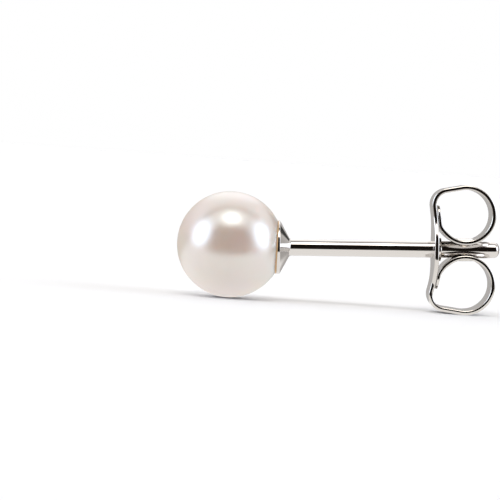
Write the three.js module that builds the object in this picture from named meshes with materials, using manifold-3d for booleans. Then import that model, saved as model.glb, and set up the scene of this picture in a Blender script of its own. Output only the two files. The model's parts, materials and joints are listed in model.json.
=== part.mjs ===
// Pearl stud earring with its butterfly clutch on the post. Millimetres, +Z up.
// It lies as it would by itself on a level surface: on the pearl and on the clutch's lower curl.
// In the stud's own frame X runs along the post from the pearl's centre, Y across, Z up.
import * as THREE from "three";
import { mergeVertices } from "three/addons/utils/BufferGeometryUtils.js";
import Module from "manifold-3d";

const wasm = await Module();
wasm.setup();

// Pearl
const pearlDiameter = 5.0;
const pearlRise = 0.1; // the pearl is glued on this far above the post's line
const drillDepth = 3.1; // half-drilled from the cup's side

// Post, cup and peg: one soldered piece
const postDiameter = 0.78;
const postLength = 9.8; // from the back of the cup to the tip
const pegDiameter = 0.7;
const pegEndGap = 0.15; // between the peg's end and the bottom of the drilled hole
const cupDiameter = 2.5;
const cupRimWidth = 0.13;
const cupRimLip = 0.03; // how far the rim reaches past its seat on the pearl's low side
const cupRimRound = 0.04;
const cupConeLength = 0.39;
const cupNeck = 0.11; // the fillet between the cone and the post
const tipDomeLength = 0.23;
const tipTaperLength = 0.75;
const tipTaper = 0.03; // taken off the radius before the dome

// Clutch: one stamped sheet with a hole, whose two tongues curl back to the plate
const clutchFromTip = 3.13; // from the plate's front to the post's tip
const sheet = 0.2;
const grooveSheet = 0.12; // left where the tongues are pressed out round the post
const flapTipSheet = 0.1; // the tongues are beaten thin towards their tips
const plateWidth = 2.8;
const plateLength = 5.4; // of the oval, along the sheet
const plateFlat = 1.1; // the level middle round the hole
const plateBow = 0.17; // how far the plate's ends stand forward of its middle
const tongueWidth = 1.9;
const tongueTipWidth = 1.0;
const tongueTipRound = 0.5;
const flapThinning = 1.4; // length over which the tongue's end gets thinner
const curlRadius = 1.39; // outside of the sheet
const curlStandoff = 0.1; // from the plate's front to the front of the curl's circle
const pinchGap = 0.485; // between the curls' outer edges, across the post
const cornerRadius = 0.78; // outside, where the plate turns into the curl
const cornerRise = 0.47; // from the curl's centre to the corner's centre
const flapBend = 0.6; // outside radius where the curl turns up along the plate's back
const collarWall = 0.13;
const collarHeight = 0.19;

// The two curls, with lengths as shares of the sizes above; flap is a share of the way up to the corner
const curls = [
  { side: 1, radius: 1.0, bow: 0.7, flap: 0.95 },
  { side: -1, radius: 1.0, bow: 1.3, flap: 0.68 },
];

// Clearances
const seatGap = 0.05; // glue line between the pearl and the cup
const pegClearance = 0.03;
const slideClearance = 0.03; // between the clutch and the post
const flapGap = 0.02; // between a flap and the plate's back

// How finely round shapes are cut
const pearlSides = 44;
const roundSides = 24;
const tipSteps = 5;
const curlSteps = 30;
const cornerSteps = 6;
const bowSteps = 4;
const bendSteps = 4;

const pearlRadius = pearlDiameter / 2;
const postRadius = postDiameter / 2;
const cupRadius = cupDiameter / 2;
const seatRadius = pearlRadius + seatGap;
const drillEnd = pearlRadius - drillDepth;
const slideRadius = postRadius + slideClearance;
const rimFront = Math.sqrt(seatRadius ** 2 - cupRadius ** 2);
const rimBack = rimFront + cupRimWidth;
const cupBack = rimBack + cupConeLength + cupNeck;
const postTip = cupBack + postLength;
const plateFront = postTip - clutchFromTip;

// Geometry and solids

function solidOf(geometry) {
  const bare = new THREE.BufferGeometry();
  bare.setAttribute("position", geometry.getAttribute("position"));
  bare.setIndex(geometry.getIndex());
  const merged = mergeVertices(bare, 1e-4);
  const corners = merged.getIndex().array;
  const triangles = [];
  for (let i = 0; i < corners.length; i += 3) {
    const [a, b, c] = corners.slice(i, i + 3);
    if (a !== b && b !== c && c !== a) triangles.push(a, b, c);
  }
  return new wasm.Manifold(
    new wasm.Mesh({
      numProp: 3,
      vertProperties: merged.getAttribute("position").array,
      triVerts: new Uint32Array(triangles),
    }),
  );
}

function geometryOf(solid) {
  const mesh = solid.getMesh();
  const geometry = new THREE.BufferGeometry();
  geometry.setAttribute("position", new THREE.BufferAttribute(mesh.vertProperties, 3));
  geometry.setIndex(new THREE.BufferAttribute(mesh.triVerts, 1));
  geometry.computeVertexNormals();
  return geometry;
}

// A turned piece whose axis is X. The profile is a list of [along, radius], from low X to high X.
function turned(profile, sides = roundSides) {
  const points = profile.map(([along, radius]) => new THREE.Vector2(radius, along));
  return new THREE.LatheGeometry(points, sides).rotateZ(-Math.PI / 2);
}

function rod(from, to, radius) {
  return turned([
    [from, 0],
    [from, radius],
    [to, radius],
    [to, 0],
  ]);
}

// Points [along, radius] of an arc round [along, radius], with angles from +X in radians.
function arcPoints(along, radius, size, from, to, steps) {
  const points = [];
  for (let i = 0; i <= steps; i += 1) {
    const angle = from + ((to - from) * i) / steps;
    points.push([along + size * Math.cos(angle), radius + size * Math.sin(angle)]);
  }
  return points;
}

// Pearl, with its drilled hole on the post's line

// A ball round the pearl's centre, with its poles above and below.
function pearlBall(radius) {
  const ball = new THREE.SphereGeometry(radius, pearlSides, pearlSides / 2);
  ball.rotateX(Math.PI / 2);
  ball.translate(0, 0, pearlRise);
  return solidOf(ball);
}

function makePearl() {
  const hole = rod(drillEnd, pearlRadius + seatGap, pegDiameter / 2 + pegClearance);
  return geometryOf(pearlBall(pearlRadius).subtract(solidOf(hole)));
}

// Post, cup and peg

function cupProfile() {
  const front = rimFront - cupRimLip;
  const round = cupRimRound;
  return [
    [front, 0],
    [front, cupRadius - round],
    ...arcPoints(front + round, cupRadius - round, round, Math.PI * 0.75, Math.PI / 2, 1),
    ...arcPoints(rimBack - round, cupRadius - round, round, Math.PI / 2, Math.PI / 7, 2),
    [cupBack - cupNeck, postRadius + cupNeck],
    [cupBack - cupNeck * 0.55, postRadius + cupNeck * 0.32],
    [cupBack, postRadius],
  ];
}

function tipProfile() {
  const domeFrom = postTip - tipDomeLength;
  const domeRadius = postRadius - tipTaper;
  const points = [
    [domeFrom - tipTaperLength, postRadius],
    [domeFrom - tipTaperLength / 3, postRadius - tipTaper / 3],
  ];
  for (let i = 0; i < tipSteps; i += 1) {
    const angle = (Math.PI / 2) * (i / tipSteps);
    points.push([domeFrom + tipDomeLength * Math.sin(angle), domeRadius * Math.cos(angle)]);
  }
  return [...points, [postTip, 0]];
}

function makePost() {
  const body = solidOf(turned([...cupProfile(), ...tipProfile()]));
  const peg = solidOf(rod(drillEnd + pegEndGap, (rimBack + cupBack) / 2, pegDiameter / 2));
  return geometryOf(body.subtract(pearlBall(seatRadius)).add(peg));
}

// Butterfly clutch, in a frame whose X is 0 on the plate's front

// The outside of one half of the sheet, from the plate's middle to the tongue's tip, as stations that
// each hold a point [x, z], the heading of the sheet in radians and whether the station is on the curl.
function curlRoute(row) {
  const radius = curlRadius * row.radius;
  const bow = plateBow * row.bow;
  const flat = plateFlat / 2;
  const curl = [curlStandoff + radius, pinchGap / 2 + radius];
  const corner = [cornerRadius - bow, curl[1] + cornerRise];
  const rise = corner[1] - flat;
  const bowPlus = (rise ** 2 + bow ** 2) / (2 * bow);
  const bowRadius = bowPlus - cornerRadius;
  const bowCentre = [-bowRadius, flat];
  const bowTurn = Math.asin(rise / bowPlus);

  const apart = Math.hypot(curl[0] - corner[0], curl[1] - corner[1]);
  const facing = Math.atan2(curl[1] - corner[1], curl[0] - corner[0]);
  const lineHeading = facing + Math.asin((radius - cornerRadius) / apart);

  // The flap's bend touches the curl's circle from inside, and clears the plate's back by the flap gap.
  const near = radius - flapBend;
  const far = bowRadius + sheet + flapGap + flapBend;
  const span = Math.hypot(curl[0] - bowCentre[0], curl[1] - bowCentre[1]);
  const toCurl = Math.atan2(curl[1] - bowCentre[1], curl[0] - bowCentre[0]);
  const opened = Math.acos((span ** 2 + far ** 2 - near ** 2) / (2 * span * far));
  const bendAngle = toCurl - opened;
  const bend = [bowCentre[0] + far * Math.cos(bendAngle), bowCentre[1] + far * Math.sin(bendAngle)];
  const curlEnd = Math.atan2(bend[1] - curl[1], bend[0] - curl[0]);

  const stations = [];
  const quarter = Math.PI / 2;
  function add(x, z, heading, onCurl = false) {
    stations.push({ x, z, heading, onCurl });
  }
  // Round a centre, between two angles of the point on the circle; turn is 1 to the left, -1 to the right.
  function sweep(centre, size, angles, steps, turn, onCurl) {
    const [from, to] = angles;
    for (let i = 1; i <= steps; i += 1) {
      const angle = from + ((to - from) * i) / steps;
      const x = centre[0] + size * Math.cos(angle);
      const z = centre[1] + size * Math.sin(angle);
      add(x, z, angle + turn * quarter, onCurl);
    }
  }
  const curlStart = lineHeading + quarter;
  add(0, 0, quarter);
  add(0, flat, quarter);
  sweep(bowCentre, bowRadius, [0, bowTurn], bowSteps, 1, false);
  sweep(corner, cornerRadius, [Math.PI + bowTurn, curlStart], cornerSteps, -1, false);
  sweep(curl, radius, [curlStart, curlStart], 1, -1, false);
  sweep(curl, radius, [curlStart, curlEnd], curlSteps, -1, true);
  sweep(bend, flapBend, [curlEnd, bendAngle - Math.PI], bendSteps, -1, false);
  const last = stations[stations.length - 1];
  const reach = (corner[1] - last.z) * row.flap;
  for (const share of [1, 0.4, 0.1, 0]) {
    const step = reach - tongueTipRound * share;
    add(last.x + step * Math.cos(last.heading), last.z + step * Math.sin(last.heading), last.heading);
  }
  let run = 0;
  stations.forEach((station, i) => {
    if (i > 0) run += Math.hypot(station.x - stations[i - 1].x, station.z - stations[i - 1].z);
    station.run = run;
  });
  return stations.map((station) => ({
    ...station,
    z: station.z * row.side,
    side: row.side,
    left: run - station.run,
  }));
}

// Half the sheet's width: an oval plate that runs into a tongue with a rounded tip.
function halfWidth(station) {
  const tongue = tongueWidth / 2;
  if (station.left < tongueTipRound) {
    const rounding = Math.sqrt(1 - (1 - station.left / tongueTipRound) ** 2);
    return tongueTipWidth / 2 + (tongue - tongueTipWidth / 2) * rounding;
  }
  const share = Math.min(station.run / (plateLength / 2), 1);
  const oval = (plateWidth / 2) * Math.cbrt(1 - share ** 3);
  return Math.cbrt(Math.cbrt(oval ** 9 + tongue ** 9));
}

// Places across the sheet: close together over the post, then out to the edge.
function columns(half) {
  const over = [0, 0.36, 0.68, 0.9].map((share) => share * slideRadius);
  const side = [...over, (over.at(-1) + half) / 2, half];
  return [...side.slice(1).reverse().map((y) => -y), ...side];
}

// The tongues are pressed out round the post where they would cross it.
function pressed(station, y, depth) {
  if (!station.onCurl) return 0;
  const clear = Math.sqrt(Math.max(slideRadius ** 2 - y ** 2, 0));
  const taken = depth > 0 ? sheet - grooveSheet : 0;
  return Math.max(clear - Math.abs(station.z) - taken, 0) * station.side;
}

// The sheet's thickness: thinner along the flap.
function thickness(station) {
  const share = Math.min(station.left / flapThinning, 1);
  return flapTipSheet + (sheet - flapTipSheet) * share;
}

function sheetRow(station, depth) {
  const outward = [Math.sin(station.heading), -Math.cos(station.heading) * station.side];
  return columns(halfWidth(station)).map((y) => [
    station.x + outward[0] * depth,
    y,
    station.z + outward[1] * depth + pressed(station, y, depth),
  ]);
}

// A closed body between two grids of the same size.
function bodyBetween(front, back) {
  const rows = front.length;
  const across = front[0].length;
  const positions = [...front.flat(), ...back.flat()].flat();
  const index = [];
  const backStart = rows * across;
  function quad(a, b, c, d) {
    index.push(a, b, c, a, c, d);
  }
  for (let i = 0; i + 1 < rows; i += 1) {
    const here = i * across;
    const next = here + across;
    for (let j = 0; j + 1 < across; j += 1) {
      quad(here + j, next + j, next + j + 1, here + j + 1);
      quad(backStart + here + j, backStart + here + j + 1, backStart + next + j + 1, backStart + next + j);
    }
    quad(here, backStart + here, backStart + next, next);
    const edge = across - 1;
    quad(here + edge, next + edge, backStart + next + edge, backStart + here + edge);
  }
  const end = (rows - 1) * across;
  for (let j = 0; j + 1 < across; j += 1) {
    quad(j, j + 1, backStart + j + 1, backStart + j);
    quad(end + j, backStart + end + j, backStart + end + j + 1, end + j + 1);
  }
  const geometry = new THREE.BufferGeometry();
  geometry.setAttribute("position", new THREE.Float32BufferAttribute(positions, 3));
  geometry.setIndex(index);
  return geometry;
}

function makeClutch() {
  const [upper, lower] = curls.map(curlRoute);
  const route = [...lower.slice(1).reverse(), ...upper];
  const front = route.map((station) => sheetRow(station, 0));
  const back = route.map((station) => sheetRow(station, thickness(station)));
  const strip = solidOf(bodyBetween(front, back));
  const collar = solidOf(rod(sheet / 2, sheet + collarHeight, slideRadius + collarWall));
  const hole = solidOf(rod(-sheet, 2 * sheet + collarHeight, slideRadius));
  return geometryOf(strip.add(collar).subtract(hole));
}

// The lean that sets the pearl and the lower curl on one level surface

function restingLean() {
  const lower = curls.find((row) => row.side < 0);
  const radius = curlRadius * lower.radius;
  const along = plateFront + curlStandoff + radius;
  const below = pinchGap / 2 + radius + pearlRise;
  const reach = Math.hypot(along, below);
  return Math.atan2(below, along) + Math.asin((radius - pearlRadius) / reach);
}

// Scene graph

const nacre = new THREE.MeshStandardMaterial({ color: 0xe9dcd3, roughness: 0.28, metalness: 0 });
const whiteGold = new THREE.MeshStandardMaterial({ color: 0xdad7d3, roughness: 0.12, metalness: 1 });

function piece(name, geometry, material) {
  const mesh = new THREE.Mesh(geometry, material);
  mesh.name = name;
  return mesh;
}

const clutch = piece("butterfly_clutch", makeClutch(), whiteGold);
clutch.position.x = plateFront;

const stud = new THREE.Group();
stud.add(piece("pearl", makePearl(), nacre));
stud.add(piece("post_and_cup", makePost(), whiteGold));
stud.add(clutch);
stud.rotation.y = -restingLean();

const earring = new THREE.Group();
earring.add(stud);
const box = new THREE.Box3().setFromObject(earring, true);
stud.position.set(-(box.min.x + box.max.x) / 2, -(box.min.y + box.max.y) / 2, -box.min.z);

export default earring;
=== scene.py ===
"""Pearl stud earring: its looks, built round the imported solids, in metres and in their frame.

The stud's own frame has X along the post from the pearl's drilled line, Y across and Z up; it leans
a few degrees, because the stud lies on its pearl and on the lower curl of its clutch.
"""
import json
import math

import bpy
import numpy as np
from mathutils import Matrix, Vector


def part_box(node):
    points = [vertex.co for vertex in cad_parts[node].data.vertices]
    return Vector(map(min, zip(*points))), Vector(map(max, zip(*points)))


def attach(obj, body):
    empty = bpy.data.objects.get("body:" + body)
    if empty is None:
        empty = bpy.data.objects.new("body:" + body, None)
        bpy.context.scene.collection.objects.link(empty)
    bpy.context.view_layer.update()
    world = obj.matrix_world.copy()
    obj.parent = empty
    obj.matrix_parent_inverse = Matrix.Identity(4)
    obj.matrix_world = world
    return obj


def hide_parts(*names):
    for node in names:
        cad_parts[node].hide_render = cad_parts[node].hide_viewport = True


bl_info = {
    "name": "Pearl Stud Earring",
    "version": (1, 0, 0),
    "blender": (4, 5, 0),
    "location": "View3D > Sidebar > Pearl Stud",
    "description": "Builds a pearl stud earring and its butterfly clutch",
    "category": "Add Mesh",
}

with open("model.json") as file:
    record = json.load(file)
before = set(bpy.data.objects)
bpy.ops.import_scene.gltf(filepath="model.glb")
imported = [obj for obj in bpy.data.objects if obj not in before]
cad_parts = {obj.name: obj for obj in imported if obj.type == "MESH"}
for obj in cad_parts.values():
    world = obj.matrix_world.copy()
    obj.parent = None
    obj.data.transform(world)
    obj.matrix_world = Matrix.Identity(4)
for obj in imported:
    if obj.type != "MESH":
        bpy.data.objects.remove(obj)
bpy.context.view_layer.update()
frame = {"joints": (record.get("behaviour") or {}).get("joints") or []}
MM = 0.001

# The post's line, from the joint that the clutch slides on, and the pearl's ball from its box
ALONG = np.array(Vector(frame["joints"][0]["axis"]).normalized())
ACROSS = np.array((0.0, 1.0, 0.0))
UPWARD = np.array((-ALONG[2], 0.0, ALONG[0]))
PEARL_LOW, PEARL_HIGH = (np.array(corner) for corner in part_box("pearl"))
PEARL_RADIUS = (PEARL_HIGH[1] - PEARL_LOW[1]) / 2
# The faceted ball touches its box at corners that lean with the post
PEARL_CENTRE = (PEARL_LOW + PEARL_HIGH) / 2
PEARL_CENTRE[0] = PEARL_LOW[0] + PEARL_RADIUS * ALONG[0]


# Settings

class PearlSettings(bpy.types.PropertyGroup):
    rise: bpy.props.FloatProperty(
        name="Rise", description="Pearl's centre above the post's line", default=0.1 * MM, unit="LENGTH")
    drill_depth: bpy.props.FloatProperty(
        name="Drill depth", description="Depth of the drilled hole", default=3.1 * MM, unit="LENGTH")
    drill_diameter: bpy.props.FloatProperty(
        name="Drill diameter", description="Across the drilled hole", default=0.76 * MM, unit="LENGTH")
    swell: bpy.props.FloatProperty(
        name="Swell", description="How far the skin dips below a true ball", default=0.012 * MM,
        unit="LENGTH")
    body_colour: bpy.props.StringProperty(
        name="Body colour", description="Nacre seen straight on, as sRGB hex", default="#E7D4C1")
    rose_colour: bpy.props.StringProperty(
        name="Overtone", description="Rosy overtone, as sRGB hex", default="#E6CEC2")


class PostSettings(bpy.types.PropertyGroup):
    diameter: bpy.props.FloatProperty(
        name="Diameter", description="Across the post", default=0.78 * MM, unit="LENGTH")
    length: bpy.props.FloatProperty(
        name="Length", description="From the cup's back to the tip", default=9.8 * MM, unit="LENGTH")
    peg_diameter: bpy.props.FloatProperty(
        name="Peg diameter", description="Across the peg in the pearl", default=0.7 * MM, unit="LENGTH")
    peg_end_gap: bpy.props.FloatProperty(
        name="Peg end gap", description="From the peg's end to the hole's end", default=0.15 * MM,
        unit="LENGTH")
    cup_diameter: bpy.props.FloatProperty(
        name="Cup diameter", description="Across the cup's rim", default=2.5 * MM, unit="LENGTH")
    rim_width: bpy.props.FloatProperty(
        name="Rim width", description="Band round the cup's rim", default=0.13 * MM, unit="LENGTH")
    rim_lip: bpy.props.FloatProperty(
        name="Rim lip", description="Rim past its seat on the low side", default=0.03 * MM, unit="LENGTH")
    rim_round: bpy.props.FloatProperty(
        name="Rim rounding", description="Radius on the rim's back edge", default=0.035 * MM, unit="LENGTH")
    rim_break: bpy.props.FloatProperty(
        name="Rim break", description="Radius on the rim's front edge", default=0.012 * MM, unit="LENGTH")
    cone_length: bpy.props.FloatProperty(
        name="Cone length", description="From the rim to the neck", default=0.39 * MM, unit="LENGTH")
    neck: bpy.props.FloatProperty(
        name="Neck", description="Fillet between the cone and the post", default=0.11 * MM, unit="LENGTH")
    tip_dome: bpy.props.FloatProperty(
        name="Tip dome", description="Length of the rounded tip", default=0.23 * MM, unit="LENGTH")
    tip_taper_length: bpy.props.FloatProperty(
        name="Taper length", description="Length of the taper before the dome", default=0.75 * MM,
        unit="LENGTH")
    tip_taper: bpy.props.FloatProperty(
        name="Taper", description="Taken off the radius before the dome", default=0.03 * MM, unit="LENGTH")
    seat_gap: bpy.props.FloatProperty(
        name="Seat gap", description="Thickness of the glue", default=0.05 * MM, unit="LENGTH")
    metal_colour: bpy.props.StringProperty(
        name="Metal colour", description="Plated white gold, as sRGB hex", default="#DEDAD6")
    glue_colour: bpy.props.StringProperty(
        name="Glue colour", description="Aged epoxy, as sRGB hex", default="#D3A56B")
    # Paler epoxy colour, laid over the glue in random patches as a painted highlight
    glue_highlight_colour: bpy.props.StringProperty(
        name="Glue highlight colour", description="Painted highlight on the epoxy, in patches, as sRGB hex",
        default="#E6C596")


class ClutchSettings(bpy.types.PropertyGroup):
    from_tip: bpy.props.FloatProperty(
        name="From tip", description="Plate's front to the post's tip", default=3.13 * MM, unit="LENGTH")
    sheet: bpy.props.FloatProperty(
        name="Sheet", description="Thickness of the sheet", default=0.2 * MM, unit="LENGTH")
    groove_sheet: bpy.props.FloatProperty(
        name="Groove sheet", description="Sheet left in the grooves", default=0.12 * MM, unit="LENGTH")
    tip_sheet: bpy.props.FloatProperty(
        name="Tip sheet", description="Sheet at the tongues' tips", default=0.1 * MM, unit="LENGTH")
    edge_bulge: bpy.props.FloatProperty(
        name="Edge bulge", description="Edge's roundness, as a share of half a circle's", default=0.5)
    plate_width: bpy.props.FloatProperty(
        name="Plate width", description="Across the plate", default=2.8 * MM, unit="LENGTH")
    plate_length: bpy.props.FloatProperty(
        name="Plate length", description="Oval's length along the sheet", default=5.4 * MM, unit="LENGTH")
    plate_flat: bpy.props.FloatProperty(
        name="Plate flat", description="Level middle round the hole", default=1.1 * MM, unit="LENGTH")
    plate_bow: bpy.props.FloatProperty(
        name="Plate bow", description="Plate's ends forward of its middle", default=0.17 * MM, unit="LENGTH")
    tongue_width: bpy.props.FloatProperty(
        name="Tongue width", description="Across a tongue", default=1.9 * MM, unit="LENGTH")
    tip_width: bpy.props.FloatProperty(
        name="Tip width", description="Across a tongue's tip", default=1.0 * MM, unit="LENGTH")
    tip_round: bpy.props.FloatProperty(
        name="Tip rounding", description="Length of a tongue's rounding", default=0.5 * MM, unit="LENGTH")
    thinning: bpy.props.FloatProperty(
        name="Thinning", description="Length over which a tongue thins", default=1.4 * MM, unit="LENGTH")
    curl_radius: bpy.props.FloatProperty(
        name="Curl radius", description="Outside of a curl", default=1.39 * MM, unit="LENGTH")
    curl_standoff: bpy.props.FloatProperty(
        name="Curl standoff", description="Plate's front to the curl", default=0.1 * MM, unit="LENGTH")
    pinch_gap: bpy.props.FloatProperty(
        name="Pinch gap", description="Between the curls' edges", default=0.485 * MM, unit="LENGTH")
    corner_radius: bpy.props.FloatProperty(
        name="Corner radius", description="Where the plate turns into a curl", default=0.78 * MM,
        unit="LENGTH")
    corner_rise: bpy.props.FloatProperty(
        name="Corner rise", description="Corner's centre past the curl's", default=0.47 * MM, unit="LENGTH")
    flap_bend: bpy.props.FloatProperty(
        name="Flap bend", description="Radius where a curl turns up the plate", default=0.6 * MM,
        unit="LENGTH")
    flap_gap: bpy.props.FloatProperty(
        name="Flap gap", description="Between a flap and the plate", default=0.02 * MM, unit="LENGTH")
    slide_gap: bpy.props.FloatProperty(
        name="Slide gap", description="Between the clutch and the post", default=0.03 * MM, unit="LENGTH")
    collar_wall: bpy.props.FloatProperty(
        name="Collar wall", description="Thickness of the collar", default=0.13 * MM, unit="LENGTH")
    collar_height: bpy.props.FloatProperty(
        name="Collar height", description="Collar behind the plate", default=0.19 * MM, unit="LENGTH")
    metal_colour: bpy.props.StringProperty(
        name="Metal colour", description="Plated white gold, as sRGB hex", default="#DCD8D3")


class StageSettings(bpy.types.PropertyGroup):
    distance: bpy.props.FloatProperty(
        name="Camera distance", description="Camera to the stud", default=110 * MM, unit="LENGTH")
    elevation: bpy.props.FloatProperty(
        name="Camera elevation", description="Camera above the level", default=math.radians(2.2),
        subtype="ANGLE")
    tilt: bpy.props.FloatProperty(
        name="Post's slope", description="Slope of the post in the picture", default=math.radians(0.81),
        subtype="ANGLE")
    picture_width: bpy.props.FloatProperty(
        name="Picture width", description="Width seen at the stud", default=23.5 * MM, unit="LENGTH")
    aim_right: bpy.props.FloatProperty(
        name="Aim right", description="Picture's centre right of the pearl's", default=0.936 * MM,
        unit="LENGTH")
    aim_up: bpy.props.FloatProperty(
        name="Aim up", description="Picture's centre above the pearl's", default=-0.268 * MM, unit="LENGTH")
    table_glow: bpy.props.FloatProperty(
        name="Table glow", description="Table's light on the stud, which has no shadow in it", default=1.0)
    floor_width: bpy.props.FloatProperty(
        name="Floor width", description="Across the floor", default=40.0, unit="LENGTH")
    front_edge: bpy.props.FloatProperty(
        name="Front edge", description="Where the table ends for reflections, in front", default=7 * MM,
        unit="LENGTH")
    back_edge: bpy.props.FloatProperty(
        name="Back edge", description="Where the table ends for reflections, behind", default=4 * MM,
        unit="LENGTH")


# Shapes

# Edges that turn by more than this stay creased; the post's turned corners are smooth up to the second
CREASE = math.radians(40)
SOFT_CREASE = math.radians(60)
# The round end of the peg, as how far along and the share of its radius
PEG_END = ((0.0, 0.6), (0.02 * MM, 0.93), (0.06 * MM, 1.0))
# The last ring on the peg's side, inside the pearl; the next one is on the seat
PEG_SIDE_END = 1.9 * MM
# The neck's fillet, as shares of the neck: its radius, and how far past the cup's back its centre lies
FILLET_SIZE = 1.35
FILLET_SHIFT = 0.35
# Power of the tip's outline: less than 1 is blunter than an ellipse
TIP_BLUNTNESS = 0.9


def in_row(points):
    """Turns points of the stud's own frame into the row frame: origin plus each length on its axis."""
    origin = PEARL_CENTRE - bpy.context.scene.stud_pearl.rise * UPWARD
    return origin + points[..., :1] * ALONG + points[..., 1:2] * ACROSS + points[..., 2:] * UPWARD


def ring_faces(rings, sides):
    """Quads between rings of points that close on themselves, and fans to a pole before and after."""
    row, column = np.meshgrid(np.arange(rings - 1), np.arange(sides), indexing="ij")
    here = row * sides + column
    beside = row * sides + (column + 1) % sides
    quads = np.stack([here, beside, beside + sides, here + sides], -1).reshape(-1, 4)
    side = np.arange(sides)
    after = (side + 1) % sides
    last = (rings - 1) * sides
    first_pole = rings * sides
    front = np.stack([after, side, np.full(sides, first_pole)], -1)
    back = np.stack([last + side, last + after, np.full(sides, first_pole + 1)], -1)
    return quads.tolist() + front.tolist() + back.tolist()


def add_piece(name, points, faces, material, body, sharp=CREASE):
    """Makes a smooth mesh object at the origin from points of the stud's own frame."""
    mesh = bpy.data.meshes.new(name)
    mesh.from_pydata(in_row(points).tolist(), [], faces)
    mesh.validate()
    mesh.shade_smooth()
    mesh.set_sharp_from_angle(angle=sharp)
    mesh.materials.append(material)
    piece = bpy.data.objects.new(name, mesh)
    bpy.context.scene.collection.objects.link(piece)
    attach(piece, body)
    return piece


def closed_turning(rings):
    """Points of the rings with the mean of the first and last ring as poles."""
    poles = np.stack([rings[0].mean(0), rings[-1].mean(0)])
    return np.concatenate([rings.reshape(-1, 3), poles])


def arc(centre, radius, start, end, steps):
    """Points of a circle's arc, at equal angles, from just after start to end."""
    angle = np.linspace(start, end, steps + 1)[1:]
    return np.column_stack([centre[0] + radius * np.cos(angle), centre[1] + radius * np.sin(angle)])


def ball_front(y, z, radius, rise):
    """How far along the post a ball round the pearl's centre reaches at y and z."""
    return np.sqrt(np.maximum(radius ** 2 - y ** 2 - (z - rise) ** 2, 0))


def pearl_rings(settings, sides=224, back_rings=100, front_rings=84, tube_rings=6):
    """The ball as rings about the drilled line.

    Each ring's radius is the sine of its angle from the pole times the ball's. Past the widest ring
    the rings' middle slides from the ball's centre to the drilled line, so that they end on the hole.
    """
    radius = PEARL_RADIUS
    hole = settings.drill_diameter / 2
    turn = np.linspace(0, 2 * math.pi, sides, endpoint=False)
    back_angle = np.linspace(0, math.pi / 2, back_rings + 1)[1:]
    front_angle = np.linspace(math.pi / 2, math.asin(hole / radius), front_rings + 1)[1:]
    size = radius * np.sin(np.concatenate([back_angle, front_angle]))
    share = np.where(np.arange(len(size)) < back_rings, 1.0, (size - hole) / (radius - hole))
    y = size[:, None] * np.cos(turn)
    z = size[:, None] * np.sin(turn) + (settings.rise * share)[:, None]
    x = ball_front(y, z, radius, settings.rise)
    x[:back_rings] *= -1
    ball = np.stack([x, y, z], -1)
    centre = np.array((0, 0, settings.rise))
    unit = (ball - centre) / radius
    # The skin's slow swell: three crossing waves about a pearl's radius long, all below the true ball
    waves = (
        np.sin(2.3 * unit[..., 0] + 1.1 * unit[..., 1] + 0.4)
        + np.sin(2.9 * unit[..., 1] - 1.7 * unit[..., 2] + 1.9)
        + np.sin(3.4 * unit[..., 2] + 0.8 * unit[..., 0] + 3.1)
    )
    dip = settings.swell * (0.5 - waves / 6)
    ball = centre + unit * (radius - dip[..., None])
    end = radius - settings.drill_depth
    depth = np.linspace(0, 1, tube_rings + 1)[1:, None]
    rim = ball[-1]
    tube = np.stack([
        rim[:, 0] + (end - rim[:, 0]) * depth,
        np.broadcast_to(hole * np.cos(turn), (tube_rings, sides)),
        np.broadcast_to(hole * np.sin(turn), (tube_rings, sides)),
    ], -1)
    return np.concatenate([ball, tube])


def post_places(post):
    """How far along the post the rim's seat edge, the rim's back, the cup's back and the tip are.

    The seat's edge is the short side of a right triangle with the seat's radius as its long side and the
    cup's radius as its other side.
    """
    seat_edge = math.sqrt((PEARL_RADIUS + post.seat_gap) ** 2 - (post.cup_diameter / 2) ** 2)
    rim_back = seat_edge + post.rim_width
    cup_back = rim_back + post.cone_length + post.neck
    return seat_edge, rim_back, cup_back, cup_back + post.length


def post_profile(post):
    """The post's outline as [along, radius] from the rim's back edge to the tip, with arcs as corners."""
    cup = post.cup_diameter / 2
    radius = post.diameter / 2
    _, rim_back, back, tip = post_places(post)
    edge = post.rim_round
    cone_turn = math.atan2(post.cone_length, cup - radius - post.neck)
    rim_arc = arc((rim_back - edge, cup - edge), edge, math.pi / 2, cone_turn, 7)
    fillet = FILLET_SIZE * post.neck
    neck_centre = (back + FILLET_SHIFT * post.neck, radius + fillet)
    neck_arc = arc(neck_centre, fillet, math.pi + cone_turn, 1.5 * math.pi, 10)
    dome_from = tip - post.tip_dome
    dome_radius = radius - post.tip_taper
    shaft = np.linspace(neck_arc[-1, 0], dome_from - post.tip_taper_length, 24)[1:]
    taper = np.linspace(0, 1, 10)[1:]
    bulge = np.linspace(0, math.pi / 2, 20)[1:-1]
    return np.concatenate([
        rim_arc,
        neck_arc,
        np.column_stack([shaft, np.full(len(shaft), radius)]),
        np.column_stack([
            dome_from - post.tip_taper_length * (1 - taper),
            radius - post.tip_taper * taper ** 2,
        ]),
        np.column_stack([
            dome_from + post.tip_dome * np.sin(bulge),
            dome_radius * np.cos(bulge) ** TIP_BLUNTNESS,
        ]),
    ])


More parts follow.
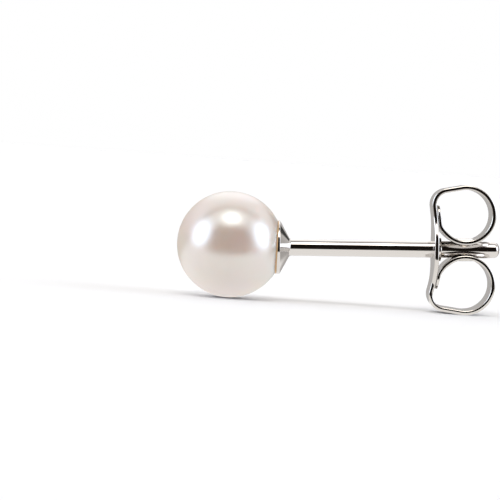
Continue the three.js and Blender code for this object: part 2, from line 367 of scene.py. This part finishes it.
def post_rings(post, pearl, sides=144):
    """The peg, the hollow seat, the rim and the turned outline, each as rings about the post's line."""
    turn = np.linspace(0, 2 * math.pi, sides, endpoint=False)
    cup = post.cup_diameter / 2
    peg = post.peg_diameter / 2
    edge = post.rim_break
    seat = PEARL_RADIUS + post.seat_gap
    seat_edge, rim_back, _, tip = post_places(post)
    front = seat_edge - post.rim_lip
    peg_end = PEARL_RADIUS - pearl.drill_depth + post.peg_end_gap

    def ring(along, radius):
        """A circle's points: the radius times the cosine and sine of each turn."""
        along = np.broadcast_to(along, turn.shape)
        return np.stack([along, radius * np.cos(turn), radius * np.sin(turn)], -1)

    def seat_at(radius):
        """How far along the seat's ball is at each turn of a circle."""
        return ball_front(radius * np.cos(turn), radius * np.sin(turn), seat, pearl.rise)

    rings = [ring(peg_end + along, share * peg) for along, share in PEG_END]
    rings += [ring(peg_end + (PEG_SIDE_END - peg_end) * share, peg) for share in (0.5, 1)]
    for radius in np.linspace(peg + 0.01 * MM, cup - edge, 16):
        rings.append(ring(np.maximum(seat_at(radius), front), radius))
    lip = np.maximum(seat_at(cup - edge), front)
    for angle in np.linspace(0, math.pi / 2, 8)[1:]:
        rings.append(ring(lip + edge * (1 - math.cos(angle)), cup - edge + edge * math.sin(angle)))
    rim_side = rim_back - post.rim_round
    for share in (0.5, 1):
        rings.append(ring(lip + edge + (rim_side - lip - edge) * share, cup))
    rings += [ring(along, radius) for along, radius in post_profile(post)]
    return np.stack(rings), tip


def glue_rings(post, pearl, sides=144, steps=8):
    """A squeezed-out bead of glue: a closed section between the pearl and the cup's rim, carried round."""
    turn = np.linspace(0, 2 * math.pi, sides, endpoint=False)
    cup = post.cup_diameter / 2
    seat = PEARL_RADIUS + post.seat_gap
    front = post_places(post)[0] - post.rim_lip
    # The glue stays this far off the pearl and the metal
    skin = 0.006 * MM

    def line(radius, along):
        """A circle's points with their own places along the post."""
        return np.stack([along, radius * np.cos(turn), radius * np.sin(turn)], -1)

    def at(radius, size):
        """How far along a ball of that size is at each turn of a circle."""
        return ball_front(radius * np.cos(turn), radius * np.sin(turn), size, pearl.rise)

    inner = cup - 0.14 * MM
    outer = cup - 0.012 * MM
    bead = cup - 0.008 * MM
    rim = np.maximum(at(outer, seat), front) - skin
    low = [line(r, at(r, PEARL_RADIUS + skin)) for r in np.linspace(inner, bead, steps)]
    high = [line(r, np.maximum(at(r, seat), front) - skin) for r in np.linspace(outer, inner, 4)]
    belly = line(cup, (rim + at(bead, PEARL_RADIUS + skin)) / 2)
    return np.stack(low + [belly] + high)


def loop_faces(sections, points, closed):
    """Quads of a closed section carried over the given number of sections, round to the first if closed."""
    count = sections if closed else sections - 1
    row, column = np.meshgrid(np.arange(count), np.arange(points), indexing="ij")
    following = (row + 1) % sections
    after = (column + 1) % points
    quads = np.stack([
        row * points + column, following * points + column,
        following * points + after, row * points + after,
    ], -1)
    return quads.reshape(-1, 4).tolist()


CURL_ROWS = (
    # side, bow and flap as shares of the clutch's sizes
    {"side": 1, "bow": 0.7, "flap": 0.95},
    {"side": -1, "bow": 1.3, "flap": 0.68},
)


def curl_route(clutch, row):
    """The sheet's outside from the plate's middle to a tongue's tip.

    It is the level middle, a shallow arc, the corner's arc, a straight line that touches both circles,
    the curl's circle, the flap's bend and the flap. Columns are x, z, heading, run and on the curl.
    """
    radius = clutch.curl_radius
    corner_radius = clutch.corner_radius
    bow = clutch.plate_bow * row["bow"]
    flat = clutch.plate_flat / 2
    curl = np.array((clutch.curl_standoff + radius, clutch.pinch_gap / 2 + radius))
    corner = np.array((corner_radius - bow, curl[1] + clutch.corner_rise))
    rise = corner[1] - flat
    bow_plus = (rise ** 2 + bow ** 2) / (2 * bow)
    bow_radius = bow_plus - corner_radius
    bow_centre = np.array((-bow_radius, flat))
    bow_turn = math.asin(rise / bow_plus)
    apart = np.hypot(*(curl - corner))
    facing = math.atan2(curl[1] - corner[1], curl[0] - corner[0])
    curl_start = facing + math.asin((radius - corner_radius) / apart) + math.pi / 2
    near = radius - clutch.flap_bend
    far = bow_radius + clutch.sheet + clutch.flap_gap + clutch.flap_bend
    span = np.hypot(*(curl - bow_centre))
    to_curl = math.atan2(curl[1] - bow_centre[1], curl[0] - bow_centre[0])
    bend_angle = to_curl - math.acos((span ** 2 + far ** 2 - near ** 2) / (2 * span * far))
    bend = bow_centre + far * np.array((math.cos(bend_angle), math.sin(bend_angle)))
    curl_end = math.atan2(bend[1] - curl[1], bend[0] - curl[0])

    level = np.column_stack([np.zeros(10), np.linspace(0, flat, 10)])
    bow_arc = arc(bow_centre, bow_radius, 0, bow_turn, 26)
    corner_arc = arc(corner, corner_radius, math.pi + bow_turn, curl_start, 26)
    line_end = curl + radius * np.array((math.cos(curl_start), math.sin(curl_start)))
    share = np.linspace(0, 1, 9)[1:, None]
    line = corner_arc[-1] + (line_end - corner_arc[-1]) * share
    curl_arc = arc(curl, radius, curl_start, curl_end, 130)
    bend_arc = arc(bend, clutch.flap_bend, curl_end, bend_angle - math.pi, 20)
    heading = bend_angle - 1.5 * math.pi
    reach = (corner[1] - bend_arc[-1, 1]) * row["flap"]
    rounding = clutch.tip_round
    steps = np.concatenate([
        np.linspace(0, reach - rounding, 10)[1:],
        reach - rounding * (1 - np.sin(np.linspace(0, math.pi / 2, 14)[1:])),
    ])
    flap = bend_arc[-1] + steps[:, None] * np.array((math.cos(heading), math.sin(heading)))
    route = np.concatenate([level, bow_arc, corner_arc, line, curl_arc, bend_arc, flap])
    step = np.diff(route, axis=0)
    run = np.concatenate([[0], np.cumsum(np.hypot(step[:, 0], step[:, 1]))])
    angle = np.unwrap(np.arctan2(step[:, 1], step[:, 0]))
    headings = np.concatenate([[math.pi / 2], (angle[1:] + angle[:-1]) / 2, [angle[-1]]])
    before = len(level) + len(bow_arc) + len(corner_arc) + len(line)
    order = np.arange(len(route))
    on_curl = (order >= before) & (order < before + len(curl_arc))
    return np.column_stack([route, headings, run, on_curl])


def sheet_half_width(clutch, run, left):
    """Half the sheet's width: a wide middle that falls off as a cosine into the tongue, with a round tip."""
    tongue = clutch.tongue_width / 2
    wide = clutch.plate_width / 2 - tongue
    fall_from = 0.12 * clutch.plate_length / 2
    fall_to = 0.6 * clutch.plate_length / 2
    share = np.clip((run - fall_from) / (fall_to - fall_from), 0, 1)
    half = tongue + wide * (1 + np.cos(math.pi * share)) / 2
    tip = np.sqrt(np.maximum(1 - (1 - np.minimum(left / clutch.tip_round, 1)) ** 2, 0))
    narrow = clutch.tip_width / 2
    return np.where(left < clutch.tip_round, narrow + (tongue - narrow) * tip, half)


def sheet_sections(clutch, post, row, flat_steps=30, edge_steps=12):
    """Closed sections of the sheet along a curl's route.

    Each section runs over the outside, round one edge on half an ellipse, back over the inside and round
    the other edge. Where the tongue would cross the post, it is pushed out to clear the post's round.
    """
    route = curl_route(clutch, row)
    x, z, heading, run, on_curl = route.T
    left = run[-1] - run
    half = sheet_half_width(clutch, run, left)
    thick = clutch.tip_sheet + (clutch.sheet - clutch.tip_sheet) * np.minimum(left / clutch.thinning, 1)
    edge = thick / 2
    bulge = clutch.edge_bulge * edge
    span = np.linspace(-1, 1, flat_steps)
    turn = np.linspace(-math.pi / 2, math.pi / 2, edge_steps + 2)[1:-1]
    flat_half = (half - bulge)[:, None]
    across = np.concatenate([
        flat_half * span, flat_half + bulge[:, None] * np.cos(turn),
        -flat_half * span, -flat_half - bulge[:, None] * np.cos(turn),
    ], 1)
    middle = thick[:, None] / 2
    depth = np.concatenate([
        np.zeros((len(x), flat_steps)), middle + edge[:, None] * np.sin(turn),
        thick[:, None] + np.zeros((len(x), flat_steps)), middle - edge[:, None] * np.sin(turn),
    ], 1)
    slide = post.diameter / 2 + clutch.slide_gap
    clear = np.sqrt(np.maximum(slide ** 2 - across ** 2, 0))
    taken = (clutch.sheet - clutch.groove_sheet) * depth / clutch.sheet
    pushed = np.maximum(clear - z[:, None] - taken, 0) * on_curl[:, None]
    along = x[:, None] + np.sin(heading)[:, None] * depth
    up = z[:, None] - np.cos(heading)[:, None] * depth + pushed
    return np.stack([along, across, up * row["side"]], -1)


def collar_rings(clutch, post, sides=96):
    """A short tube that the hole's edge was drawn into: a closed section with a round lip, carried round."""
    turn = np.linspace(0, 2 * math.pi, sides, endpoint=False)
    bore = post.diameter / 2 + clutch.slide_gap
    wall = clutch.collar_wall
    end = clutch.sheet + clutch.collar_height
    lip = np.linspace(0, math.pi, 10)
    entry = np.linspace(math.pi, 1.5 * math.pi, 6)
    round_in = 0.06 * MM
    foot = bore + wall + 0.02 * MM
    section = np.concatenate([
        np.column_stack([
            round_in + round_in * np.sin(entry),
            bore + round_in + round_in * np.cos(entry),
        ])[::-1],
        np.column_stack([end - wall / 2 + wall / 2 * np.sin(lip), bore + wall / 2 - wall / 2 * np.cos(lip)]),
        [[clutch.sheet * 0.5, bore + wall], [clutch.sheet * 0.5, foot], [0.0, foot]],
    ])
    along = np.broadcast_to(section[:, :1], (len(section), sides))
    return np.stack([along, section[:, 1:] * np.cos(turn), section[:, 1:] * np.sin(turn)], -1)


def cut_and_join(piece, tool, operation):
    """Applies a Boolean of tool to piece, and removes tool."""
    modifier = piece.modifiers.new(operation.title(), "BOOLEAN")
    modifier.operation = operation
    modifier.solver = "EXACT"
    modifier.object = tool
    evaluated = piece.evaluated_get(bpy.context.evaluated_depsgraph_get())
    joined = bpy.data.meshes.new_from_object(evaluated)
    piece.modifiers.clear()
    piece.data = joined
    bpy.data.objects.remove(tool)


# Materials

def linear(colour, alpha=1.0):
    """An sRGB hex value as linear red, green, blue and alpha."""
    parts = np.array([int(colour[i:i + 2], 16) for i in (1, 3, 5)]) / 255
    parts = np.where(parts <= 0.04045, parts / 12.92, ((parts + 0.055) / 1.055) ** 2.4)
    return (*parts.tolist(), alpha)


def add_node(tree, kind, settings=None, **links):
    """Adds a node, sets its properties, and fills its inputs with values or with other nodes' outputs."""
    node = tree.nodes.new(kind)
    for name, value in (settings or {}).items():
        setattr(node, name, value)
    for name, value in links.items():
        key = int(name[1:]) if name[1:].isdigit() else name.replace("_", " ")
        if isinstance(value, bpy.types.NodeSocket):
            tree.links.new(value, node.inputs[key])
        else:
            node.inputs[key].default_value = value
    return node


def new_material(name):
    """An empty node material and its Principled shader."""
    material = bpy.data.materials.new(name)
    material.use_nodes = True
    tree = material.node_tree
    return material, tree, tree.nodes["Principled BSDF"]


def cultured_pearl_nacre(settings):
    """Cultured pearl: aragonite nacre in thin layers, so light comes both off the skin and from within.

    The eye sees a soft mirror over a warm cream body, with a rosy overtone in slow patches.
    """
    material, tree, shader = new_material("cultured_pearl_nacre")
    place = add_node(tree, "ShaderNodeTexCoord").outputs["Object"]
    patch = add_node(tree, "ShaderNodeTexNoise", Vector=place, Scale=0.45 / MM, Detail=1.5, Roughness=0.5)
    blend = add_node(tree, "ShaderNodeMapRange", _0=patch.outputs["Fac"], From_Min=0.35, From_Max=0.65)
    colour = add_node(
        tree, "ShaderNodeMix", {"data_type": "RGBA"}, _0=blend.outputs["Result"],
        _6=linear(settings.body_colour), _7=linear(settings.rose_colour))
    # Growth lines of the nacre are a few microns apart; they are drawn at 0.09 mm so that they show
    grain = add_node(tree, "ShaderNodeTexNoise", Vector=place, Scale=1 / (0.09 * MM), Detail=2.0)
    bump = add_node(
        tree, "ShaderNodeBump", Strength=0.035, Distance=0.01 * MM, Height=grain.outputs["Fac"])
    tree.links.new(colour.outputs["Result"], shader.inputs["Base Color"])
    tree.links.new(bump.outputs["Normal"], shader.inputs["Normal"])
    shader.inputs["Metallic"].default_value = 0.0
    shader.inputs["Roughness"].default_value = 0.3
    # Nacre's own index is about 1.6, but its hundreds of layers together reflect as 4.5 would
    shader.inputs["IOR"].default_value = 4.5
    shader.inputs["Specular Tint"].default_value = (0.8, 0.94, 1.0, 1)
    shader.inputs["Subsurface Weight"].default_value = 1.0
    shader.inputs["Subsurface Radius"].default_value = (1.0, 0.8, 0.65)
    shader.inputs["Subsurface Scale"].default_value = 1.5 * MM
    shader.inputs["Coat Weight"].default_value = 0.4
    shader.inputs["Coat Roughness"].default_value = 0.18
    shader.inputs["Coat IOR"].default_value = 1.5
    return material


def plated_white_gold(name, colour, line_spacing, line_depth):
    """White gold plated with rhodium and polished: a near mirror, a little warm, with faint drawing lines.

    The lines run along the metal, so they vary across it only; real ones are finer and are drawn
    coarse enough to show.
    """
    material, tree, shader = new_material(name)
    place = add_node(tree, "ShaderNodeTexCoord").outputs["Object"]
    split = add_node(tree, "ShaderNodeSeparateXYZ", Vector=place)
    lines = add_node(
        tree, "ShaderNodeTexNoise", {"noise_dimensions": "1D"},
        W=split.outputs["Y"], Scale=1 / line_spacing, Detail=2.0, Roughness=0.6)
    smear = add_node(tree, "ShaderNodeTexNoise", Vector=place, Scale=1 / (0.5 * MM), Detail=2.0)
    rough = add_node(
        tree, "ShaderNodeMapRange", _0=smear.outputs["Fac"],
        From_Min=0.3, From_Max=0.7, To_Min=0.05, To_Max=0.1)
    bump = add_node(tree, "ShaderNodeBump", Strength=0.3, Distance=line_depth, Height=lines.outputs["Fac"])
    tree.links.new(rough.outputs["Result"], shader.inputs["Roughness"])
    tree.links.new(bump.outputs["Normal"], shader.inputs["Normal"])
    shader.inputs["Base Color"].default_value = linear(colour)
    shader.inputs["Metallic"].default_value = 1.0
    return material


def aged_epoxy(settings):
    """Two-part epoxy, yellowed with age: a thin glossy amber line, with a painted highlight in paler patches
    at random.
    """
    material, tree, shader = new_material("aged_epoxy")
    place = add_node(tree, "ShaderNodeTexCoord").outputs["Object"]
    # Painted highlight: noise patches where the paler colour takes over from the amber
    highlight_patch = add_node(tree, "ShaderNodeTexNoise", Vector=place, Scale=1 / (0.25 * MM), Detail=2.0)
    colour = add_node(
        tree, "ShaderNodeMix", {"data_type": "RGBA"}, _0=highlight_patch.outputs["Fac"],
        _6=linear(settings.glue_colour), _7=linear(settings.glue_highlight_colour))
    tree.links.new(colour.outputs["Result"], shader.inputs["Base Color"])
    shader.inputs["Roughness"].default_value = 0.3
    shader.inputs["IOR"].default_value = 1.5
    return material


# Pieces

class STUD_OT_pearl(bpy.types.Operator):
    """Make the drilled pearl"""
    bl_idname = "stud.make_pearl"
    bl_label = "Pearl"

    def execute(self, context):
        settings = context.scene.stud_pearl
        rings = pearl_rings(settings)
        faces = ring_faces(*rings.shape[:2])
        piece = add_piece(
            "drilled_pearl", closed_turning(rings), faces, cultured_pearl_nacre(settings), "stud")
        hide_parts("pearl")
        return {"FINISHED"}


class STUD_OT_post(bpy.types.Operator):
    """Make the peg, cup and post, which are one soldered piece"""
    bl_idname = "stud.make_post"
    bl_label = "Post and cup"

    def execute(self, context):
        post = context.scene.stud_post
        pearl = context.scene.stud_pearl
        rings, tip = post_rings(post, pearl)
        points = closed_turning(rings)
        points[-1] = (tip, 0, 0)
        metal = plated_white_gold("plated_white_gold_post", post.metal_colour, 0.12 * MM, 0.00015 * MM)
        piece = add_piece(
            "turned_post_and_cup", points, ring_faces(*rings.shape[:2]), metal, "stud",
            sharp=SOFT_CREASE)
        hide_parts("post_and_cup")
        return {"FINISHED"}


class STUD_OT_glue(bpy.types.Operator):
    """Make the line of glue between the pearl and the cup"""
    bl_idname = "stud.make_glue"
    bl_label = "Glue line"

    def execute(self, context):
        post = context.scene.stud_post
        rings = glue_rings(post, context.scene.stud_pearl)
        loops = np.swapaxes(rings, 0, 1)
        faces = loop_faces(loops.shape[0], loops.shape[1], True)
        add_piece("glue_line", loops.reshape(-1, 3), faces, aged_epoxy(post), "stud")
        return {"FINISHED"}


class STUD_OT_clutch(bpy.types.Operator):
    """Make the butterfly clutch from one sheet"""
    bl_idname = "stud.make_clutch"
    bl_label = "Butterfly clutch"

    def execute(self, context):
        scene = context.scene
        clutch = scene.stud_clutch
        post = scene.stud_post
        front = np.array((post_places(post)[-1] - clutch.from_tip, 0, 0))
        upper, lower = (sheet_sections(clutch, post, row) for row in CURL_ROWS)
        sections = front + np.concatenate([lower[:0:-1], upper])
        count, points = sections.shape[:2]
        faces = loop_faces(count, points, False)
        faces.append(list(range(points)))
        faces.append([(count - 1) * points + i for i in range(points)][::-1])
        metal = plated_white_gold("plated_white_gold_sheet", clutch.metal_colour, 0.08 * MM, 0.00015 * MM)
        piece = add_piece(
            "curled_sheet_clutch", sections.reshape(-1, 3), faces, metal, "clutch")
        bore = post.diameter / 2 + clutch.slide_gap
        sides = 96
        turn = np.linspace(0, 2 * math.pi, sides, endpoint=False)
        drill = bore + 0.5 * clutch.collar_wall
        ends = np.array((-clutch.sheet, 2 * clutch.sheet))
        drill_rings = front + np.stack([
            np.stack([np.full(sides, end), drill * np.cos(turn), drill * np.sin(turn)], -1) for end in ends])
        cutter = add_piece(
            "cutter", closed_turning(drill_rings), ring_faces(2, sides), metal, "clutch")
        cut_and_join(piece, cutter, "DIFFERENCE")
        collar = front + np.swapaxes(collar_rings(clutch, post), 0, 1)
        ring = add_piece(
            "collar", collar.reshape(-1, 3), loop_faces(*collar.shape[:2], True), metal, "clutch")
        cut_and_join(piece, ring, "UNION")
        piece.data.set_sharp_from_angle(angle=CREASE)
        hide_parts("butterfly_clutch")
        return {"FINISHED"}


# Stage

# The studio's level, which leaves the open table a little over full white
STUDIO_LEVEL = 0.985
# Soft boxes and dark gaps at a distance. A row says where one is seen from the stud and its half sizes, all
# in degrees, the softness of its edge, the power of its outline (2 is an ellipse, more is squarer), its
# strength and its colour. Azimuth 0 is the camera's side
PANEL_PARTS = ("azimuth", "elevation", "wide", "high", "soft", "square", "strength", "colour")
STUDIO_PANELS = [dict(zip(PANEL_PARTS, row)) for row in (
    (0, 89, 80, 5, 0.2, 3, 0.03, "#F0D8D0"),
    (180, 40, 19, 20, 0.25, 2.4, 1.5, "#FFFFFF"),
    (0, 10, 47, 36, 0.2, 4, 0.22, "#DCC0CC"),
    (0, 10, 41, 32, 0.1, 5, 0.01, "#FFE0C8"),
    (143, 12, 9, 13, 0.3, 3, 0.06, "#FFFFFF"),
    (-71, 18, 19, 20, 0.45, 2.2, 3.4, "#E9F1FF"),
    (79, 19, 18, 20, 0.45, 2.2, 3.4, "#E9F1FF"),
    (0, 61, 15, 12, 0.35, 2.4, 4.0, "#FFFAF2"),
)]
# The walls' colours at the horizon and overhead, and the heights (sines) between which they climb
LOW_WALL = (0.48, 0.465, 0.455, 1)
HIGH_WALL = (0.97, 0.95, 0.94, 1)
CLIMB_FROM = 0.1
CLIMB_TO = 0.65
TABLE_WHITE = (0.94, 0.94, 0.94, 1)
GLOW_COLOUR = (1, 0.985, 0.97, 1)
# Mirror rays lose the table between its edge and this share of the edge's distance
TABLE_FADE = 1.4


def studio_panel(tree, direction, under, panel):
    """Lays one rounded panel over the colours under it, by where the direction crosses its plane.

    A direction is inside where the powers of its two distances from the middle, as shares of the half
    sizes, add up to less than one.
    """
    azimuth = math.radians(panel["azimuth"])
    elevation = math.radians(panel["elevation"])
    aim = Vector((
        math.sin(azimuth) * math.cos(elevation), -math.cos(azimuth) * math.cos(elevation),
        math.sin(elevation),
    ))
    side = Vector((math.cos(azimuth), math.sin(azimuth), 0))
    facing, *parts = [
        add_node(tree, "ShaderNodeVectorMath", {"operation": "DOT_PRODUCT"}, _0=direction, _1=line)
        .outputs["Value"]
        for line in (aim, side, side.cross(aim))
    ]
    powers = []
    for part, half in zip(parts, (panel["wide"], panel["high"])):
        limit = math.tan(math.radians(half))
        place = add_node(tree, "ShaderNodeMath", {"operation": "DIVIDE"}, _0=part, _1=facing)
        share = add_node(tree, "ShaderNodeMath", {"operation": "DIVIDE"}, _0=place.outputs[0], _1=limit)
        size = add_node(tree, "ShaderNodeMath", {"operation": "ABSOLUTE"}, _0=share.outputs[0])
        powers.append(add_node(
            tree, "ShaderNodeMath", {"operation": "POWER"}, _0=size.outputs[0], _1=panel["square"])
            .outputs[0])
    total = add_node(tree, "ShaderNodeMath", {"operation": "ADD"}, _0=powers[0], _1=powers[1])
    inside = add_node(
        tree, "ShaderNodeMapRange", {"interpolation_type": "SMOOTHSTEP"}, _0=total.outputs[0],
        From_Min=(1 - panel["soft"]) ** panel["square"],
        From_Max=(1 + panel["soft"]) ** panel["square"], To_Min=1.0, To_Max=0.0)
    ahead = add_node(tree, "ShaderNodeMath", {"operation": "GREATER_THAN"}, _0=facing, _1=0.001)
    mask = add_node(
        tree, "ShaderNodeMath", {"operation": "MULTIPLY"}, _0=ahead.outputs[0],
        _1=inside.outputs["Result"])
    strength = panel["strength"]
    colour = [part * strength for part in linear(panel["colour"])[:3]] + [1]
    return add_node(
        tree, "ShaderNodeMix", {"data_type": "RGBA"}, _0=mask.outputs[0], _6=under, _7=colour
    ).outputs["Result"]


def light_studio(scene):
    """A pale studio all round, as one world: grey walls, soft boxes, and the unlit side of the camera."""
    world = bpy.data.worlds.new("pale_studio")
    scene.world = world
    world.use_nodes = True
    tree = world.node_tree
    direction = add_node(tree, "ShaderNodeTexCoord").outputs["Generated"]
    height = add_node(tree, "ShaderNodeSeparateXYZ", Vector=direction).outputs["Z"]
    climb = add_node(
        tree, "ShaderNodeMapRange", _0=height, From_Min=CLIMB_FROM, From_Max=CLIMB_TO)
    colour = add_node(
        tree, "ShaderNodeMix", {"data_type": "RGBA"}, _0=climb.outputs["Result"],
        _6=LOW_WALL, _7=HIGH_WALL).outputs["Result"]
    for panel in STUDIO_PANELS:
        colour = studio_panel(tree, direction, colour, panel)
    seen = add_node(tree, "ShaderNodeLightPath").outputs["Is Camera Ray"]
    backdrop = add_node(
        tree, "ShaderNodeMix", {"data_type": "RGBA"}, _0=seen, _6=colour, _7=(*[1 / STUDIO_LEVEL] * 3, 1))
    background = tree.nodes["Background"]
    tree.links.new(backdrop.outputs["Result"], background.inputs["Color"])
    background.inputs["Strength"].default_value = STUDIO_LEVEL


def white_table(settings):
    """Matt white table, which lights the stud evenly from below, as a light table does.

    The eye sees it as far as it goes, but mirror rays find it only near the stud.
    """
    material, tree, shader = new_material("matt_white_table")
    shader.inputs["Base Color"].default_value = TABLE_WHITE
    shader.inputs["Roughness"].default_value = 1.0
    shader.inputs["Specular IOR Level"].default_value = 0.0
    place = add_node(tree, "ShaderNodeTexCoord").outputs["Object"]
    depth = add_node(tree, "ShaderNodeSeparateXYZ", Vector=place).outputs["Y"]
    before = add_node(
        tree, "ShaderNodeMapRange", {"interpolation_type": "SMOOTHSTEP"}, _0=depth,
        From_Min=-settings.front_edge, From_Max=-TABLE_FADE * settings.front_edge)
    behind = add_node(
        tree, "ShaderNodeMapRange", {"interpolation_type": "SMOOTHSTEP"}, _0=depth,
        From_Min=settings.back_edge, From_Max=TABLE_FADE * settings.back_edge)
    beyond = add_node(
        tree, "ShaderNodeMath", {"operation": "ADD"}, _0=before.outputs["Result"],
        _1=behind.outputs["Result"])
    path = add_node(tree, "ShaderNodeLightPath").outputs
    lost = add_node(
        tree, "ShaderNodeMath", {"operation": "MULTIPLY"}, _0=beyond.outputs[0], _1=path["Is Glossy Ray"])
    glow = add_node(tree, "ShaderNodeEmission", Color=GLOW_COLOUR, Strength=settings.table_glow)
    clear = add_node(tree, "ShaderNodeBsdfTransparent")
    # Rays that come straight from the stud see the glow; the eye and the table's own light don't
    first = add_node(tree, "ShaderNodeMath", {"operation": "COMPARE"}, _0=path["Ray Depth"], _1=1.0, _2=0.5)
    lit = add_node(
        tree, "ShaderNodeMixShader", _0=first.outputs[0], _1=shader.outputs[0], _2=glow.outputs[0])
    mixed = add_node(
        tree, "ShaderNodeMixShader", _0=lost.outputs[0], _1=lit.outputs[0], _2=clear.outputs[0])
    tree.links.new(mixed.outputs[0], tree.nodes["Material Output"].inputs["Surface"])
    return material


class STUD_OT_stage(bpy.types.Operator):
    """Make the table, the studio's light and the camera"""
    bl_idname = "stud.make_stage"
    bl_label = "Stage"

    def execute(self, context):
        scene = context.scene
        settings = scene.stud_stage
        half = settings.floor_width / 2
        level = PEARL_CENTRE[2] - PEARL_RADIUS
        corners = [(-half, -half, level), (half, -half, level), (half, half, level), (-half, half, level)]
        mesh = bpy.data.meshes.new("white_table")
        mesh.from_pydata(corners, [], [(0, 1, 2, 3)])
        mesh.materials.append(white_table(settings))
        table = bpy.data.objects.new("white_table", mesh)
        scene.collection.objects.link(table)
        light_studio(scene)
        scene.view_settings.view_transform = "Standard"

        lean = math.atan2(ALONG[2], ALONG[0])
        roll = lean + settings.tilt
        lift = settings.elevation
        level_up = Vector((0, math.sin(lift), math.cos(lift)))
        level_right = Vector((1, 0, 0))
        ahead = Vector((0, math.cos(lift), -math.sin(lift)))
        right = math.cos(roll) * level_right + math.sin(roll) * level_up
        up = math.cos(roll) * level_up - math.sin(roll) * level_right
        target = Vector(PEARL_CENTRE) + settings.aim_right * right + settings.aim_up * up
        camera = bpy.data.cameras.new("camera")
        camera.sensor_width = 36.0
        camera.lens = camera.sensor_width * settings.distance / settings.picture_width
        camera.clip_start = 0.01 * settings.distance
        camera.clip_end = 100.0
        holder = bpy.data.objects.new("camera", camera)
        turned = Matrix((right, up, -ahead)).transposed().to_4x4()
        holder.matrix_world = Matrix.Translation(target - settings.distance * ahead) @ turned
        scene.collection.objects.link(holder)
        scene.camera = holder
        return {"FINISHED"}


class STUD_PT_panel(bpy.types.Panel):
    """Lists the stud's settings and the operators that make its pieces"""
    bl_label = "Pearl Stud"
    bl_idname = "STUD_PT_panel"
    bl_space_type = "VIEW_3D"
    bl_region_type = "UI"
    bl_category = "Pearl Stud"

    def draw(self, context):
        for name in SETTINGS:
            box = self.layout.box()
            group = getattr(context.scene, name)
            for key in group.__annotations__:
                box.prop(group, key)
        for operator in OPERATORS:
            self.layout.operator(operator.bl_idname)


SETTINGS = {
    "stud_pearl": PearlSettings,
    "stud_post": PostSettings,
    "stud_clutch": ClutchSettings,
    "stud_stage": StageSettings,
}
OPERATORS = (STUD_OT_pearl, STUD_OT_post, STUD_OT_glue, STUD_OT_clutch, STUD_OT_stage)


def register():
    """Adds the settings to the scene, and the operators and the panel"""
    for name, group in SETTINGS.items():
        bpy.utils.register_class(group)
        setattr(bpy.types.Scene, name, bpy.props.PointerProperty(type=group))
    for operator in OPERATORS:
        bpy.utils.register_class(operator)
    bpy.utils.register_class(STUD_PT_panel)


def unregister():
    """Takes away what register adds, in reverse order"""
    bpy.utils.unregister_class(STUD_PT_panel)
    for operator in reversed(OPERATORS):
        bpy.utils.unregister_class(operator)
    for name, group in SETTINGS.items():
        delattr(bpy.types.Scene, name)
        bpy.utils.unregister_class(group)


def main():
    """Makes every piece and the stage"""
    register()
    bpy.ops.stud.make_pearl()
    bpy.ops.stud.make_post()
    bpy.ops.stud.make_glue()
    bpy.ops.stud.make_clutch()
    bpy.ops.stud.make_stage()


if __name__ == "__main__":
    main()
